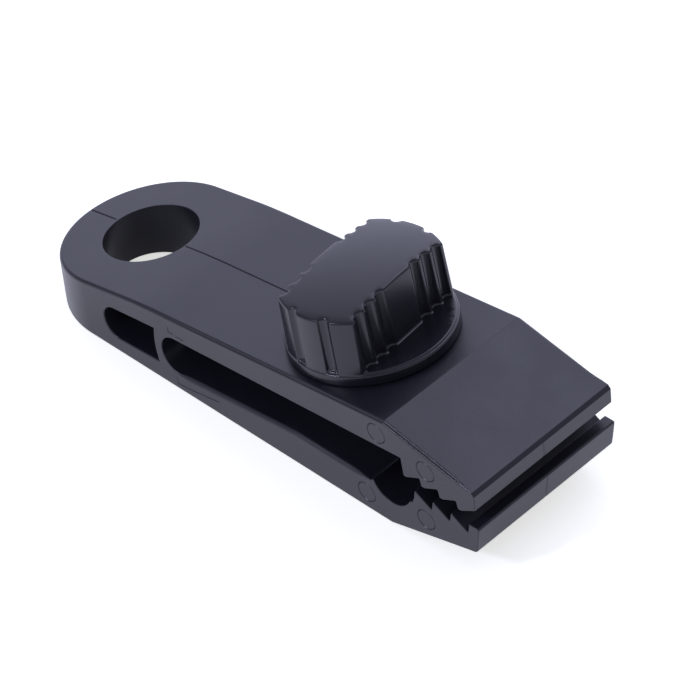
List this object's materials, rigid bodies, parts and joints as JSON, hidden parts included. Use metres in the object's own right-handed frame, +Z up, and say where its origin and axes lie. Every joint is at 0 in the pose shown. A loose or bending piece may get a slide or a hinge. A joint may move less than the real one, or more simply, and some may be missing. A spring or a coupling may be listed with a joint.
{
  "type": "tarp clip",
  "caption": "Moulded tarp clip with a round eye for a cord at the rear and toothed jaws at the front, drawn together by a thumb knob on a screw.",
  "frame": {"origin": "on the axis of the eye's bore, on the plane of the underside that the clip lies on", "axes": "+X from the eye to the lips, +Y across the jaws, +Z up, along the eye's bore"},
  "size_m": [0.1202, 0.036, 0.0386],
  "materials": {
    "moulded_nylon": "black nylon, moulded, satin",
    "knob_nylon": "black nylon, moulded, a little glossier than the body",
    "zinc_plated_steel": "bright zinc plate"
  },
  "bodies": {
    "clip": {"eye_and_lower_jaw": "moulded_nylon"},
    "jaw": {"upper_jaw": "moulded_nylon"},
    "knob": {"thumb_knob": "knob_nylon", "clamp_screw": "zinc_plated_steel"},
    "nut": {"captive_nut": "zinc_plated_steel"}
  },
  "joints": [
    {"name": "jaw_flex", "type": "hinge", "parent": "clip", "child": "jaw", "pos_m": [0.0285, 0, 0.01565], "axis": [0, -1, 0], "range_deg": [-2.2, 4.5]},
    {"name": "knob_spin", "type": "hinge", "parent": "jaw", "child": "knob", "pos_m": [0.0602, 0, 0.02242], "axis": [-0.1305, 0, 0.9914], "range_deg": [-558, 1141]},
    {"name": "nut_rock", "type": "hinge", "parent": "clip", "child": "nut", "pos_m": [0.06045, 0, 0.02052], "axis": [0, -1, 0], "range_deg": [-2.2, 4.5]}
  ],
  "couplings": [
    {"joint": "jaw_flex", "follows": "knob_spin", "ratio": 0.0039405},
    {"joint": "nut_rock", "follows": "knob_spin", "ratio": 0.0039405}
  ]
}
